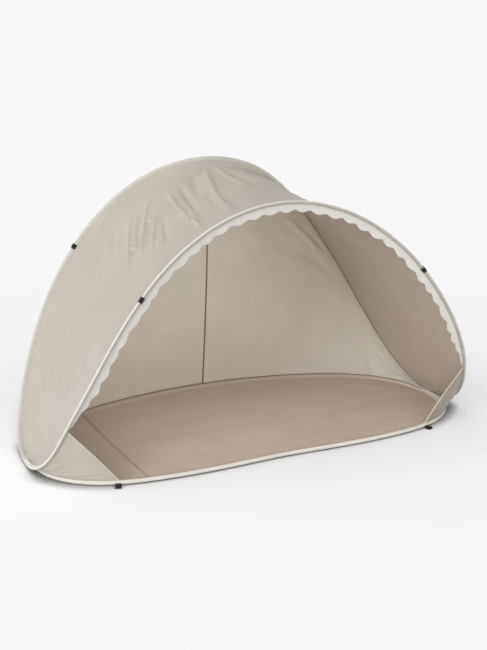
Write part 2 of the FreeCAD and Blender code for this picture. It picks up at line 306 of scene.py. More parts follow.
def binding(name, colour, stitch_at, inner=None, sheen=0.2):
    """Folded binding tape: fine ribs along it, one row of stitches with painted shade in its groove, and
    perhaps painted shade on one face.
    """
    m = Nodes(bpy.data.materials.new(name))
    vector, parts = m.cloth()
    tone = m.mix(m.blotches(vector, scale=5.0), shade(colour, 0.93), shade(colour, 1.03))
    # Painted shade: the face on the up side of the outline takes the darker tone given as inner
    if inner is not None:
        tone = m.mix(m.spread(parts[2], -0.0018, -0.0008, 0.0, 1.0), tone, inner)
    rib = m.maths("SINE", m.maths("MULTIPLY", parts[0], 2 * math.pi / RIB_PITCH))
    rib = m.maths("MULTIPLY_ADD", rib, 0.5, 0.5)
    across = m.maths("ABSOLUTE", m.maths("SUBTRACT", m.maths("ABSOLUTE", parts[1]), stitch_at))
    line = m.spread(across, 0.0003, 0.0007, 1.0, 0.0)
    dash = m.maths("SINE", m.maths("MULTIPLY", parts[0], 2 * math.pi / STITCH_PITCH))
    dash = m.spread(dash, -0.5, -0.3, 0.0, 1.0)
    stitch = m.maths("MULTIPLY", line, dash)
    groove = m.spread(across, 0.0005, 0.0022, 1.0, 0.0)
    between = m.maths("SUBTRACT", 1.0, rib)
    # Painted shade along the sunken stitch groove
    tone = m.mix(m.maths("MULTIPLY", groove, GROOVE_SHADE_SHARE), tone, shade(colour, 0.5))
    tone = m.mix(m.maths("MULTIPLY", between, RIB_SHARE), tone, shade(colour, 0.7))
    tone = m.mix(m.maths("MULTIPLY", stitch, STITCH_SHARE), tone, shade(colour, 1.12))
    wear = m.spread(m.noise(vector, 60.0, 5.0, 0.65), 0.58, 0.72, 0.0, WEAR_SHARE)
    tone = m.mix(wear, tone, shade(colour, 0.86))
    gathers = m.bump(m.noise(vector, scale=90.0), strength=0.4, distance=0.0012)
    sunk = m.bump(m.maths("MULTIPLY", groove, -1.0), 0.6, 0.0006, gathers)
    ribbed = m.bump(rib, 0.4, 0.00015, sunk)
    m.surface(
        Base_Color=tone, Roughness=0.66, Normal=m.bump(stitch, 0.9, 0.0005, ribbed),
        Sheen_Weight=sheen, Specular_IOR_Level=CLOTH_GLOSS,
    )
    return m.owner


def webbing_material():
    m = Nodes(bpy.data.materials.new("ribbed_webbing"))
    colour = (0.006, 0.0055, 0.005)
    rib_pitch, thread_pitch = 0.0016, 0.0024
    vector, parts = m.cloth()
    rib = m.maths("SINE", m.maths("MULTIPLY", parts[0], 2 * math.pi / rib_pitch))
    cross = m.maths("SINE", m.maths("MULTIPLY", parts[1], 2 * math.pi / thread_pitch))
    height = m.maths("MULTIPLY_ADD", m.maths("MULTIPLY", rib, cross), 0.5, 0.5)
    tone = m.mix(height, shade(colour, 0.7), shade(colour, 1.9))
    fuzz = m.spread(m.noise(vector, scale=700.0), 0.5, 0.8, 0.0, 0.4)
    tone = m.mix(fuzz, tone, shade(colour, 3.0))
    m.surface(
        Base_Color=tone, Roughness=0.7, Normal=m.bump(height, strength=0.7, distance=0.0004),
        Sheen_Weight=0.03, Specular_IOR_Level=0.25,
    )
    return m.owner


def steel_material():
    m = Nodes(bpy.data.materials.new("drawn_steel"))
    place = m.new("ShaderNodeTexCoord").outputs["Object"]
    streak = m.noise(place, scale=240.0, detail=4.0)
    tone = m.mix(streak, (0.42, 0.43, 0.45, 1), (0.62, 0.63, 0.65, 1))
    m.surface(Metallic=1.0, Base_Color=tone, Roughness=m.spread(streak, 0.3, 0.7, 0.24, 0.4))
    return m.owner


THIN = {"roughness": 0.50, "sheen": 0.15, "glow": 0.8}
COATED = {"roughness": 0.60, "sheen": 0.05, "pitch": 0.0013, "depth": 0.0002, "vary": 0.04}
FLOOR_TONE = (0.525, 0.430, 0.352)
PALE_BINDING = (0.620, 0.590, 0.540)
STITCH_AT = 0.0085
MATERIALS = {
    "canopy": fabric("canopy_cloth", (0.372, 0.341, 0.298), **THIN),
    "lining": fabric("canopy_lining", (0.375, 0.328, 0.284), **THIN | {"roughness": 0.58}),
    # The gussets take copies of the canopy cloth in two tones: painted light on the left one and painted
    # shade on the right one
    "gusset_left": fabric("gusset_left_lit_cloth", (0.420, 0.385, 0.337), **THIN),
    "gusset_right": fabric("gusset_right_shaded_cloth", (0.285, 0.245, 0.207), **THIN | {"sheen": 0.10}),
    "wall": fabric("wall_cloth", (0.520, 0.490, 0.445), roughness=0.55, sheen=0.20, glow=0.8),
    # The groundsheet's band of painted shade is the strongest, and lies along its edge at the floor ring
    "floor": fabric("groundsheet_cloth", FLOOR_TONE, seam=0.70, **COATED),
    "floor_tape": fabric("floor_tape_cloth", FLOOR_TONE, seam=1.0, **COATED),
    "floor_seam": fabric("floor_seam_cloth", (0.420, 0.335, 0.270), 0.60, 0.05, 0.0012),
    "trim": fabric("trim_cloth", (0.540, 0.520, 0.487), 0.75, 0.20, 0.0008, vary=0.02, seam=0.95),
    "sleeve": binding("hoop_binding", (0.470, 0.445, 0.398), STITCH_AT),
    # The front binding's darker second tone is painted shade on its inner face
    "front_sleeve": binding("front_hoop_binding", PALE_BINDING, STITCH_AT, (0.330, 0.300, 0.265, 1)),
    "floor_sleeve": binding("floor_ring_binding", PALE_BINDING, STITCH_AT),
    "hem": binding("hem_binding", (0.560, 0.510, 0.450), 0.0),
    "tape": binding("seam_tape_cloth", (0.200, 0.132, 0.090), 0.0030, sheen=0.0),
    "webbing": webbing_material(),
    "steel": steel_material(),
}


# -------- mesh making


def link(name, data):
    thing = bpy.data.objects.new(name, data)
    bpy.context.scene.collection.objects.link(thing)
    return thing


def make(name, verts, faces, cloth, material, slot, body=None, replaces=()):
    mesh = bpy.data.meshes.new(name)
    mesh.from_pydata(np.asarray(verts).tolist(), [], faces)
    mesh.validate()
    attribute = mesh.attributes.new("cloth", "FLOAT_VECTOR", "POINT")
    attribute.data.foreach_set("vector", np.asarray(cloth, np.float32).ravel())
    mesh.polygons.foreach_set("use_smooth", [True] * len(mesh.polygons))
    mesh.materials.append(MATERIALS[material])
    thing = link(name, mesh)
    if replaces:
        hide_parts(*replaces)
    if body:
        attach(thing, body)
    return thing


def grid_faces(rows, columns, start=0, flip=False):
    first = start + np.arange(rows - 1)[:, None] * columns + np.arange(columns - 1)
    quads = np.stack([first, first + columns, first + columns + 1, first + 1], -1).reshape(-1, 4)
    return (quads[:, ::-1] if flip else quads).tolist()


def rim_faces(rows, columns):
    """The thin faces round the four sides of a sheet with two layers."""
    edge = [i * columns for i in range(rows)]
    edge += [(rows - 1) * columns + j for j in range(1, columns)]
    edge += [i * columns + columns - 1 for i in range(rows - 2, -1, -1)]
    edge += [j for j in range(columns - 2, 0, -1)]
    layer = rows * columns
    pairs = zip(edge, edge[1:] + edge[:1])
    return [(b, a, a + layer, b + layer) for a, b in pairs]


def grid_normals(points):
    du = np.gradient(points, axis=0)
    dv = np.gradient(points, axis=1)
    return unit(np.cross(du, dv))


def grid_measures(points):
    """Metres along and across a grid of points, and from the nearer of its two long edges."""
    along = np.linalg.norm(np.diff(points, axis=0), axis=2).mean(1)
    s = np.concatenate([[0], np.cumsum(along)])[:, None] * np.ones(points.shape[1])
    steps = np.linalg.norm(np.diff(points, axis=1), axis=2)
    t = np.concatenate([np.zeros((len(points), 1)), np.cumsum(steps, axis=1)], axis=1)
    edge = np.minimum(t, t[:, -1:] - t)
    return np.stack([s, t, edge], -1)


def thin(name, points, material, slot, thickness=CLOTH, lining=None, far_edge_only=False, **rest):
    """A sheet with two layers and a closed rim, from a grid of points on its middle.

    The layer that faces the inside of the shelter may have a lining of its own.
    """
    rows, columns = points.shape[:2]
    normals = grid_normals(points)
    measures = grid_measures(points)
    if far_edge_only:
        measures[..., 2] = measures[:, -1:, 1] - measures[..., 1]
    over = (points + normals * (thickness / 2)).reshape(-1, 3)
    under = (points - normals * (thickness / 2)).reshape(-1, 3)
    faces = grid_faces(rows, columns)
    faces += grid_faces(rows, columns, rows * columns, flip=True)
    faces += rim_faces(rows, columns)
    both = np.vstack([measures.reshape(-1, 3)] * 2)
    thing = make(name, np.vstack([over, under]), faces, both, material, slot, **rest)
    if lining:
        thing.data.materials.append(MATERIALS[lining])
        over_faces_in = np.sum(normals * (INSIDE - points)) > 0
        layer = (rows - 1) * (columns - 1)
        marks = np.zeros(len(faces), np.int32)
        marks[:layer] = 1 if over_faces_in else 0
        marks[layer : 2 * layer] = 0 if over_faces_in else 1
        thing.data.polygons.foreach_set("material_index", marks)
    return thing


def swept(name, centre, out, up, profile, material, slot, swell=None, **rest):
    """A closed tube: one outline of (out, up) points, set square at each of the centres."""
    count, sides = len(centre), len(profile)
    outline = np.broadcast_to(profile, (count, sides, 2)).copy()
    if swell is not None:
        outline *= swell[:, None, None]
    points = centre[:, None] + out[:, None] * outline[..., :1] + up[:, None] * outline[..., 1:]
    faces = []
    for i in range(count - 1):
        for j in range(sides):
            a, b = i * sides + j, i * sides + (j + 1) % sides
            faces.append((a, b, b + sides, a + sides))
    faces.append(tuple(range(sides))[::-1])
    faces.append(tuple((count - 1) * sides + j for j in range(sides)))
    measures = np.zeros((count, sides, 3))
    measures[..., 0] = lengths_along(centre)[:, None]
    measures[..., 1:] = profile
    return make(name, points.reshape(-1, 3), faces, measures.reshape(-1, 3), material, slot, **rest)


def blend_points(thing, weights):
    """Bakes a piece's placing into its points, and does not use its weights."""
    CAD_LO.copy()
    CAD_HI.copy()
    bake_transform(thing)


def blend_sheet(thing, weights):
    """The same for a sheet, with one weight for both of its layers at each point."""
    blend_points(thing, np.tile(weights.ravel(), 2))


# -------- shapes of the sheets

FOLD_DEPTH = 2.0
FOLD_WIDTH = 1.15
PUCKER_REACH = 0.030
PUCKER_RISE = 0.006


def wander(s, waves, seed):
    """A soft irregular wave along a line, about 1 high: sines with wavelengths near those given."""
    rng = np.random.default_rng(seed)
    total = 0
    for length in waves:
        for stretch in (0.83, 1.0, 1.27):
            total = total + np.sin(2 * np.pi * s / (length * stretch) + rng.uniform(0, 6.28))
    return total / (2.0 * len(waves))


def folds(s, t, lines):
    """Soft ridges and valleys on a sheet: each runs from a to b with a width, and stands out by a height."""
    total = 0
    for a, b, width, height in lines:
        run = (b[0] - a[0], b[1] - a[1])
        length = math.hypot(*run)
        q = ((s - a[0]) * run[0] + (t - a[1]) * run[1]) / length**2
        d = ((s - a[0]) * run[1] - (t - a[1]) * run[0]) / length
        fade = smooth((q + 0.12) / 0.4) * smooth((1.12 - q) / 0.4)
        total = total + height * np.exp(-((d / (width * FOLD_WIDTH)) ** 2)) * fade
    return total


def crumple(s, t, centre, reach, height, seed):
    """A patch of small irregular crumples about a point, which fade out over its reach."""
    a, b = s - centre[0], t - centre[1]
    fade = np.exp(-(a**2 + b**2) / reach**2)
    bent = a + 0.35 * b + 0.02 * wander(b, (0.17,), seed + 1)
    patch = smooth(0.5 + 0.6 * wander(b - 0.5 * a, (0.13, 0.2), seed + 2))
    return height * fade * patch * wander(bent, (0.042, 0.065), seed)


def pucker(s, gap, height, seed):
    """The small gathers along a sewn edge, which die out away from it."""
    ripple = wander(s, (0.035, 0.055, 0.09), seed)
    patch = 0.6 + 0.4 * wander(s, (0.45,), seed + 1)
    return height * ripple * patch * smooth(gap / PUCKER_RISE) * np.exp(-gap / PUCKER_REACH)


class Panel:
    """A sheet between two edges, each a function from u to points; v goes from the first to the second."""

    FULL_SAG_FROM = 0.6

    def __init__(self, first, second, sag, relief):
        self.first, self.second, self.sag, self.relief = first, second, sag, relief

    def frame_at(self, u):
        a, b = self.first(u), self.second(u)
        step = 0.004
        low, high = np.maximum(u - step, 0), np.minimum(u + step, 1)
        run = self.first(high) + self.second(high) - self.first(low) - self.second(low)
        normal = unit(np.cross(b - a, run))
        inward = np.sum(normal * (INSIDE - (a + b) / 2), axis=-1, keepdims=True)
        return a, b, normal * np.where(inward < 0, -1.0, 1.0)

    def at(self, u, v, lift=0.0):
        a, b, normal = self.frame_at(u)
        chord = np.linalg.norm(b - a, axis=-1)
        depth = self.sag * np.minimum(1.0, chord / self.FULL_SAG_FROM) * 4 * v * (1 - v) + lift
        depth = depth + self.relief(u, v, chord)
        return a + (b - a) * v[..., None] + normal * depth[..., None]

    def grid(self, us, vs):
        return self.at(*np.meshgrid(us, vs, indexing="ij"))


def beside(hoop, f, towards, distance):
    place, along = hoop.at(f), hoop.along(f)
    return place + square(towards - place, along) * distance


def clear_of_corner(f):
    """The nearest fraction at which the canopy's two hoops are well apart, for the direction between them."""
    return np.clip(f, 0.04, 0.96)


def rear_seam_way(f):
    """Square to the rear hoop, between the directions in which the canopy and the wall leave it."""
    place, along = rear.at(f), rear.along(f)
    canopy_way = square(front.at(clear_of_corner(f)) - place, along)
    return unit(canopy_way + square(floor_rear.at(f) - place, along))


def floor_seam_way(hoop, f):
    """Inwards from the floor ring, and a little up."""
    up = np.array([0.0, 0.0, 1.0])
    inward = square(FOLD - hoop.at(f), hoop.along(f)) * (1, 1, 0)
    flat_in = np.cross(hoop.along(f), up)
    flat_in = flat_in * np.sign(np.sum(flat_in * inward, axis=-1, keepdims=True))
    return unit(unit(flat_in) + 0.35 * up)


def rear_seam(f):
    return rear.at(f) + rear_seam_way(f) * SEAM_DEPTH


def floor_edge(hoop, f):
    return hoop.at(f) + floor_seam_way(hoop, f) * SEAM_DEPTH


# Where the sheets start and stop, as fractions of a hoop
CANOPY_FROM = 0.016
WALL_FROM = 0.005
GUSSET_FROM, GUSSET_ON_HOOP = 0.020, 0.137
GUSSET_FOOT_FROM, GUSSET_ON_FLOOR = 0.025, 0.2065
TRIM_FROM = 0.143

# Metres from one scallop to the next, and from the middle to the floor's cross seams
TRIM_PITCH = 0.080
SEAM_X = abs(box_middle("floor_seam_rear_left")[0])


def canopy_f(u):
    return CANOPY_FROM + (1 - 2 * CANOPY_FROM) * u


# Folds as (start, end, width, height). On the canopy, a start or end is metres along the sheet from its
# left end, and across it from the front hoop.
SHOULDER_FOLDS = (
    ((1.41, 0.73), (1.21, 0.36), 0.012, 0.0050),
    ((1.55, 0.77), (1.29, 0.32), 0.009, 0.0060),
    ((1.43, 0.65), (1.27, 0.38), 0.008, -0.0050),
    ((1.49, 0.55), (1.34, 0.27), 0.009, 0.0050),
    ((1.51, 0.50), (1.41, 0.22), 0.011, -0.0045),
    ((1.31, 0.76), (1.19, 0.55), 0.016, -0.0040),
    ((1.46, 0.70), (1.38, 0.52), 0.008, -0.0040),
)
CRUMPLED_FOLDS = (
    ((1.63, 0.69), (1.58, 0.40), 0.009, 0.0060),
    ((1.60, 0.46), (1.56, 0.24), 0.008, 0.0060),
    ((1.58, 0.27), (1.56, 0.09), 0.008, 0.0050),
    ((1.56, 0.40), (1.61, 0.30), 0.008, 0.0045),
    ((1.53, 0.26), (1.59, 0.17), 0.008, 0.0045),
    ((1.70, 0.70), (1.62, 0.20), 0.016, -0.0065),
)
CROWN_FOLDS = (
    ((1.88, 0.82), (1.77, 0.38), 0.016, 0.0065),
    ((1.78, 0.44), (1.72, 0.07), 0.018, 0.0055),
    ((1.80, 0.80), (1.72, 0.50), 0.022, -0.0050),
    ((1.94, 0.86), (1.97, 0.45), 0.015, 0.0045),
    ((1.98, 0.84), (2.06, 0.55), 0.018, -0.0050),
    ((2.08, 0.84), (2.62, 0.91), 0.034, -0.0150),
    ((2.06, 0.70), (2.20, 0.48), 0.020, 0.0045),
)
FAR_FOLDS = (
    ((2.44, 0.72), (2.62, 0.34), 0.014, 0.0030),
    ((2.53, 0.66), (2.66, 0.36), 0.012, -0.0025),
    ((2.30, 0.66), (2.36, 0.22), 0.013, 0.0030),
)
LOWER_FOLDS = (
    ((0.34, 0.22), (0.80, 0.34), 0.020, -0.0015),
    ((0.80, 0.20), (1.02, 0.05), 0.012, 0.0025),
    ((0.85, 0.28), (1.08, 0.09), 0.012, -0.0025),
    ((3.58, 0.30), (3.26, 0.50), 0.022, 0.0015),
)
CANOPY_FOLDS = SHOULDER_FOLDS + CRUMPLED_FOLDS + CROWN_FOLDS + FAR_FOLDS + LOWER_FOLDS

# Crumples as (centre, reach, height, seed)
CANOPY_CRUMPLES = (
    ((1.36, 0.50), 0.22, 0.0035, 81),
    ((1.59, 0.34), 0.16, 0.0040, 84),
    ((1.90, 0.60), 0.18, 0.0020, 87),
    ((2.34, 0.45), 0.20, 0.0015, 90),
)
CANOPY_SPREAD = (3.9, 0.96)

# On a wall, right-hand (1) or left-hand (-1): metres from its corner along it, and down from the rear hoop
WALL_FOLDS = {
    1: (
        ((1.63, 0.36), (1.04, 0.17), 0.040, -0.0140),
        ((1.50, 0.15), (1.14, 0.12), 0.022, 0.0080),
        ((1.38, 0.12), (1.08, 0.06), 0.014, -0.0060),
        ((0.60, 0.80), (0.54, 1.10), 0.016, 0.0070),
        ((0.46, 0.82), (0.27, 0.90), 0.014, 0.0060),
        ((0.28, 0.88), (0.10, 0.92), 0.010, 0.0060),
        ((0.80, 1.02), (0.70, 1.12), 0.009, -0.0070),
        ((1.86, 0.40), (1.70, 0.30), 0.020, 0.0040),
    ),
    -1: (
        ((1.62, 0.30), (1.20, 0.20), 0.030, -0.0080),
        ((1.30, 0.22), (1.00, 0.12), 0.020, 0.0070),
        ((0.66, 0.82), (0.62, 1.10), 0.018, 0.0060),
        ((0.50, 0.84), (0.24, 0.94), 0.014, 0.0050),
        ((1.86, 0.86), (1.60, 0.74), 0.024, 0.0040),
    ),
}
WALL_SPREAD = (2.04, 1.14)

# On a gusset: metres out from the corner, and down from the hoop
GUSSET_FOLDS = (
    ((0.16, 0.22), (0.42, 0.27), 0.010, 0.0045),
    ((0.20, 0.16), (0.40, 0.16), 0.010, -0.0035),
    ((0.18, 0.27), (0.44, 0.31), 0.007, 0.0030),
    ((0.10, 0.12), (0.30, 0.10), 0.009, 0.0030),
)
GUSSET_SPREAD = (0.45, 0.33)

# On the floor, right-hand half: metres right of the middle, and behind the fold line
FLOOR_FOLDS = (
    ((0.58, 0.42), (0.52, 0.26), 0.012, 0.0020),
    ((0.76, 0.46), (0.74, 0.24), 0.014, 0.0025),
    ((0.82, 0.24), (0.98, 0.10), 0.010, 0.0040),
    ((0.74, 0.22), (0.92, 0.13), 0.010, 0.0035),
    ((0.70, 0.06), (0.88, 0.00), 0.012, 0.0035),
)


def held(v, margin):
    """Nothing at a sheet's two sewn edges, and 1 further in than a margin."""
    return smooth(v / margin) * smooth((1 - v) / margin)


def fan(v, s, waves, seed, u, reach, start):
    """The gathers that spread from a corner, with a start and a reach as fractions of the sheet's length."""
    return wander(v + s, waves, seed) * np.exp(-((u / reach) ** 2)) * smooth(u / start)


def canopy_relief(u, v, chord):
    """u runs from the left corner to the right one, v from the front hoop to the rear one."""
    s, t = u * front.length, v * chord
    ends = np.minimum(u, 1 - u)
    middle = np.sin(np.pi * v)
    depth = 0.0045 * smooth(ends / 0.10) * wander(s + 0.25 * t, (0.62, 0.38), 3) * middle
    depth = depth + 0.002 * fan(v, 0.05 * s, (0.20, 0.12), 5, ends, 0.10, 0.03) * middle
    depth = depth + pucker(s, t, 0.0022, 11) + pucker(s, chord - t, 0.0022, 12)
    flat_s, flat_t = u * CANOPY_SPREAD[0], v * CANOPY_SPREAD[1]
    standing = folds(flat_s, flat_t, CANOPY_FOLDS)
    for centre, reach, height, seed in CANOPY_CRUMPLES:
        standing = standing + crumple(flat_s, flat_t, centre, reach, height, seed)
    return depth - FOLD_DEPTH * standing * held(v, 0.06)


def wall_relief(side):
    """u runs from a corner to the centre seam, v from the rear hoop to the floor."""

    def relief(u, v, chord):
        s, t = u * rear.length / 2, v * chord
        calm = smooth(u / 0.25) * smooth((1 - u) / 0.05)
        gathers = fan(v, 0.1 * s, (0.22, 0.13), 23 + side, u, 0.30, 0.06)
        waves = calm * wander(s - 0.3 * t, (0.5, 0.3), 21 + side)
        depth = 0.004 * (waves + gathers) * np.sin(np.pi * v)
        depth = depth + pucker(s, t, 0.0018, 25 + side) + pucker(s, chord - t, 0.0022, 28 + side)
        depth = depth + pucker(t, (1 - u) * rear.length / 2, 0.0015, 31)
        standing = folds(u * WALL_SPREAD[0], v * WALL_SPREAD[1], WALL_FOLDS[side])
        return depth + standing * held(v, 0.03) * smooth((1 - u) / 0.04)

    return relief


def gusset_relief(u, v, chord):
    t = v * chord
    wave = wander(u + 0.15 * v, (0.42, 0.25), 35) * np.sin(np.pi * v)
    depth = 0.0025 * wave + pucker(u * 0.4, t, 0.0015, 37) + pucker(u * 0.4, chord - t, 0.0015, 39)
    standing = folds(u * GUSSET_SPREAD[0], v * GUSSET_SPREAD[1], GUSSET_FOLDS)
    return depth - standing * held(v, 0.08)


CANOPY_SAG, WALL_SAG, GUSSET_SAG = 0.038, 0.019, 0.006
WALL_DROP = 0.0045
WALL_DROP_UNTIL = 0.06

canopy_panel = Panel(
    lambda u: beside(front, canopy_f(u), rear.at(canopy_f(u)), SLEEVE_EDGE),
    lambda u: rear_seam(canopy_f(u)),
    CANOPY_SAG, canopy_relief,
)


def wall_f(u, side):
    f = WALL_FROM + (0.5 - WALL_FROM) * u
    return f if side < 0 else 1 - f


def wall_panel(side):
    """Near its corner the wall starts a little below the seam, so that it stays behind the canopy."""

    def foot(u):
        return floor_edge(floor_rear, wall_f(u, side))

    def top(u):
        seam = rear_seam(wall_f(u, side))
        below = WALL_DROP * smooth(1 - u / WALL_DROP_UNTIL)
        return seam + unit(foot(u) - seam) * below[..., None]

    return Panel(top, foot, WALL_SAG, wall_relief(side))


def gusset_fs(u, side):
    f = GUSSET_FROM + (GUSSET_ON_HOOP - GUSSET_FROM) * u
    g = GUSSET_FOOT_FROM + (GUSSET_ON_FLOOR - GUSSET_FOOT_FROM) * u
    return (f, g) if side < 0 else (1 - f, 1 - g)


def gusset_panel(side):
    def first(u):
        f, g = gusset_fs(u, side)
        return beside(front, f, floor_front.at(g), SLEEVE_EDGE)

    def second(u):
        f, g = gusset_fs(u, side)
        return beside(floor_front, g, front.at(f), SLEEVE_EDGE)

    return Panel(first, second, GUSSET_SAG, gusset_relief)


SIDES = ((-1, "left"), (1, "right"))

# Lengths from the fold line over which the shares below go from 0 to 1
HOOP_TURN = 0.06
FLOOR_TURN = 0.34


def hoop_share(y):
    """A share for a point of the front hoop, this far in front of the fold line: 0 on it, 1 from HOOP_TURN
    on.
    """
    return smooth(np.abs(y - FOLD[1]) / HOOP_TURN)


def floor_share(y):
    """The same for a point of the floor, in front of the fold line or behind it."""
    return smooth(np.abs(y - FOLD[1]) / FLOOR_TURN)


# Canopy.
# Its columns lie closest over its middle, where its folds are.
CANOPY_COLUMNS, CANOPY_ROWS = 481, 101
vs = np.linspace(0, 1, CANOPY_ROWS)
us = np.interp(np.linspace(0, 1, CANOPY_COLUMNS), (0, 0.21, 0.79, 1), (0, 0.27, 0.72, 1))
grid = canopy_panel.grid(us, vs)
canopy = thin("canopy", grid, "canopy", "canopy_fabric", lining="lining", replaces=["canopy_panel"])
front_share = hoop_share(grid[:, :1, 1]) * ((1 - vs) * (1 - 0.6 * vs**2))
blend_sheet(canopy, front_share)


def wall_share(v, foot_y):
    """A share for the wall: 0 along the rear hoop, from which its upper part hangs behind the canopy, and the
    floor's share at its foot.
    """
    return v**2 * floor_share(foot_y)


# Back wall
for side, name in SIDES:
    us, vs = np.linspace(0, 1, 301), np.linspace(0, 1, 141)
    grid = wall_panel(side).grid(us, vs)
    wall = thin(
        "wall_" + name, grid, "canopy", "wall_fabric", lining="wall", replaces=["back_wall_" + name],
    )
    blend_sheet(wall, wall_share(vs, grid[:, -1:, 1]))

# Gussets, each with a rolled hem down its free edge
GUSSET_ROWS = 61
HEM_WIDTH, HEM_HEIGHT = 0.0028, 0.0022
HEM_OVERLAP = 0.002
turns = np.linspace(0, 2 * np.pi, 13)[:-1]
ROUND_HEM = np.stack([HEM_WIDTH * np.cos(turns), HEM_HEIGHT * np.sin(turns)], -1)
for side, name in SIDES:
    panel = gusset_panel(side)
    vs = np.linspace(0, 1, GUSSET_ROWS)
    grid = panel.grid(vs, vs)
    # Each gusset takes its own copy of the cloth, with painted light on the left and painted shade on the
    # right
    gusset = thin(
        "gusset_cloth_" + name, grid, "gusset_" + name, "canopy_fabric", lining="lining",
        replaces=["gusset_" + name],
    )
    blend_sheet(gusset, vs * floor_share(grid[:, -1:, 1]))
    line = panel.at(np.ones(GUSSET_ROWS), vs)
    along = unit(np.gradient(line, axis=0))
    out = square(line - panel.at(np.full(GUSSET_ROWS, 0.98), vs), along)
    hem = swept(
        "gusset_edge_" + name, line + out * HEM_OVERLAP, out, np.cross(along, out), ROUND_HEM,
        "hem", "binding", replaces=["gusset_hem_" + name],
    )
    blend_points(hem, np.repeat(vs, len(ROUND_HEM)))


# -------- sleeves


def drop_profile(out, radius, flange, edge=0.0016, waist=0.0024):
    """A sleeve's outline: round over the wire on the outside, flat where it is sewn to the sheets."""
    turns = np.linspace(-2.35, 2.35, 17)
    nose = [(out + radius * math.cos(t), radius * math.sin(t)) for t in turns]
    return np.array(
        nose + [(-flange * 0.62, waist), (-flange * 0.86, edge), (-flange, edge * 0.6),
                (-flange, -edge * 0.6), (-flange * 0.86, -edge), (-flange * 0.62, -waist)]
    )


SLEEVE_COLUMNS = 521


def sleeve(body, hoop, way, profile, material, seed):
    """A binding sleeve from corner to corner; way gives its outward side."""
    f = np.linspace(0, 1, SLEEVE_COLUMNS)
    centre, along = hoop.at(f), hoop.along(f)
    out = square(way(f), along)
    s = f * hoop.length
    swell = 1 + 0.035 * wander(s, (0.05, 0.11), seed) + 0.03 * wander(s, (0.7,), seed + 1)
    up = np.cross(along, out)
    return swept(
        body + "_binding", centre, out, up, profile, material, "binding", swell, replaces=[body + "_sleeve"],
    )


def rear_way(f):
    return -rear_seam_way(f)


def front_way(f):
    """Outwards from the front hoop: away from the canopy and a little from the trim."""
    place, along = front.at(f), front.along(f)
    trim_side = square(TRIM_CENTRE - place, along)
    return -unit(square(rear.at(clear_of_corner(f)) - place, along) + 0.5 * trim_side)


TRIM_CENTRE = np.array([0, front.at(np.array(0.5))[1], INSIDE[2]])
HOOP_SLEEVE = drop_profile(0.003, 0.0072, 0.0115)
FLOOR_SLEEVE = drop_profile(0.0008, 0.0094, 0.0104)

rear_sleeve = sleeve("rear_hoop", rear, rear_way, HOOP_SLEEVE, "sleeve", 41)
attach(rear_sleeve, "rear_hoop")
front_sleeve = sleeve("front_hoop", front, front_way, HOOP_SLEEVE, "front_sleeve", 43)
floor_rear_sleeve = sleeve(
    "floor_rear", floor_rear, lambda f: -floor_seam_way(floor_rear, f), FLOOR_SLEEVE, "floor_sleeve", 45,
)
floor_front_sleeve = sleeve(
    "floor_front", floor_front, lambda f: -floor_seam_way(floor_front, f), FLOOR_SLEEVE, "floor_sleeve", 47,
)

# The lap where the rear sleeve's two ends overlap at the crown
LAP_REACH = 0.013
s = np.linspace(-LAP_REACH, LAP_REACH, 15)
f = 0.5 + s / rear.length
along = rear.along(f)
out = square(rear_way(f), along)
swell = 1.07 + 0.03 * np.cos(s * 240)
swept(
    "rear_hoop_binding_join", rear.at(f), out, np.cross(along, out), HOOP_SLEEVE, "sleeve", "binding",
    swell, body="rear_hoop",
)

FOLDING = (
    ("front_hoop", front, front_sleeve, "rear_hoop", hoop_share),
    ("floor_rear", floor_rear, floor_rear_sleeve, "rear_hoop", floor_share),
    ("floor_front", floor_front, floor_front_sleeve, "front_hoop", floor_share),
)
wire_lo, wire_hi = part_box("floor_rear_wire")
WIRE_RADIUS = (wire_hi[2] - wire_lo[2]) / 2
turns = np.linspace(0, 2 * np.pi, 11)[:-1]
WIRE_OUTLINE = WIRE_RADIUS * np.stack([np.cos(turns), np.sin(turns)], -1)
for body, hoop, its_sleeve, parent, share in FOLDING:
    f = np.linspace(0, 1, SLEEVE_COLUMNS)
    along = hoop.along(f)
    out = square(INSIDE - hoop.at(f), along)
    wire = swept(
        "spring_wire_" + body, hoop.at(f), out, np.cross(along, out), WIRE_OUTLINE, "steel", "spring_steel",
        replaces=[body + "_wire"],
    )
    for thing in (its_sleeve, wire):
        blend_points(thing, share(points_of(thing)[:, 1]))


# -------- floor


FLOOR_FROM = 0.006
FLOOR_CLEARANCE = 0.0012
TURN_UP = 0.050


def floor_points(hoop, columns, rows):
    """A half of the floor sheet: flat on the ground, turned up where it is sewn to its ring."""
    f = np.linspace(FLOOR_FROM, 1 - FLOOR_FROM, columns)
    edge = floor_edge(hoop, f)
    side = 1 if hoop is floor_rear else -1
    v = np.linspace(0, 1, rows)
    base = edge.copy()
    base[:, 1] = FOLD[1]
    points = base[:, None] + (edge - base)[:, None] * v[None, :, None]
    x, y = points[..., 0], np.abs(points[..., 1] - FOLD[1])
    to_ring = np.abs(edge[:, 1] - FOLD[1])[:, None] - y
    near_end = smooth((1.07 - np.abs(x)) / 0.12)
    swell = 0.5 + 0.5 * wander(x + 0.4 * side * y, (0.33, 0.21), 51) * np.cos(3.1 * y + x)
    ripple = np.clip(wander(x * 0.8 - 0.5 * y, (0.12, 0.075), 53), 0, 1) * smooth(y / 0.1)
    height = FLOOR_CLEARANCE + 0.0035 * swell * smooth(y / 0.08) * near_end + 0.0012 * ripple * near_end
    if hoop is floor_rear:
        height = height + folds(x, y, FLOOR_FOLDS) * smooth(y / 0.03)
    rise = smooth(1 - to_ring / TURN_UP) ** 2
    points[..., 2] = height * (1 - rise) + edge[:, 2:] * rise
    return points


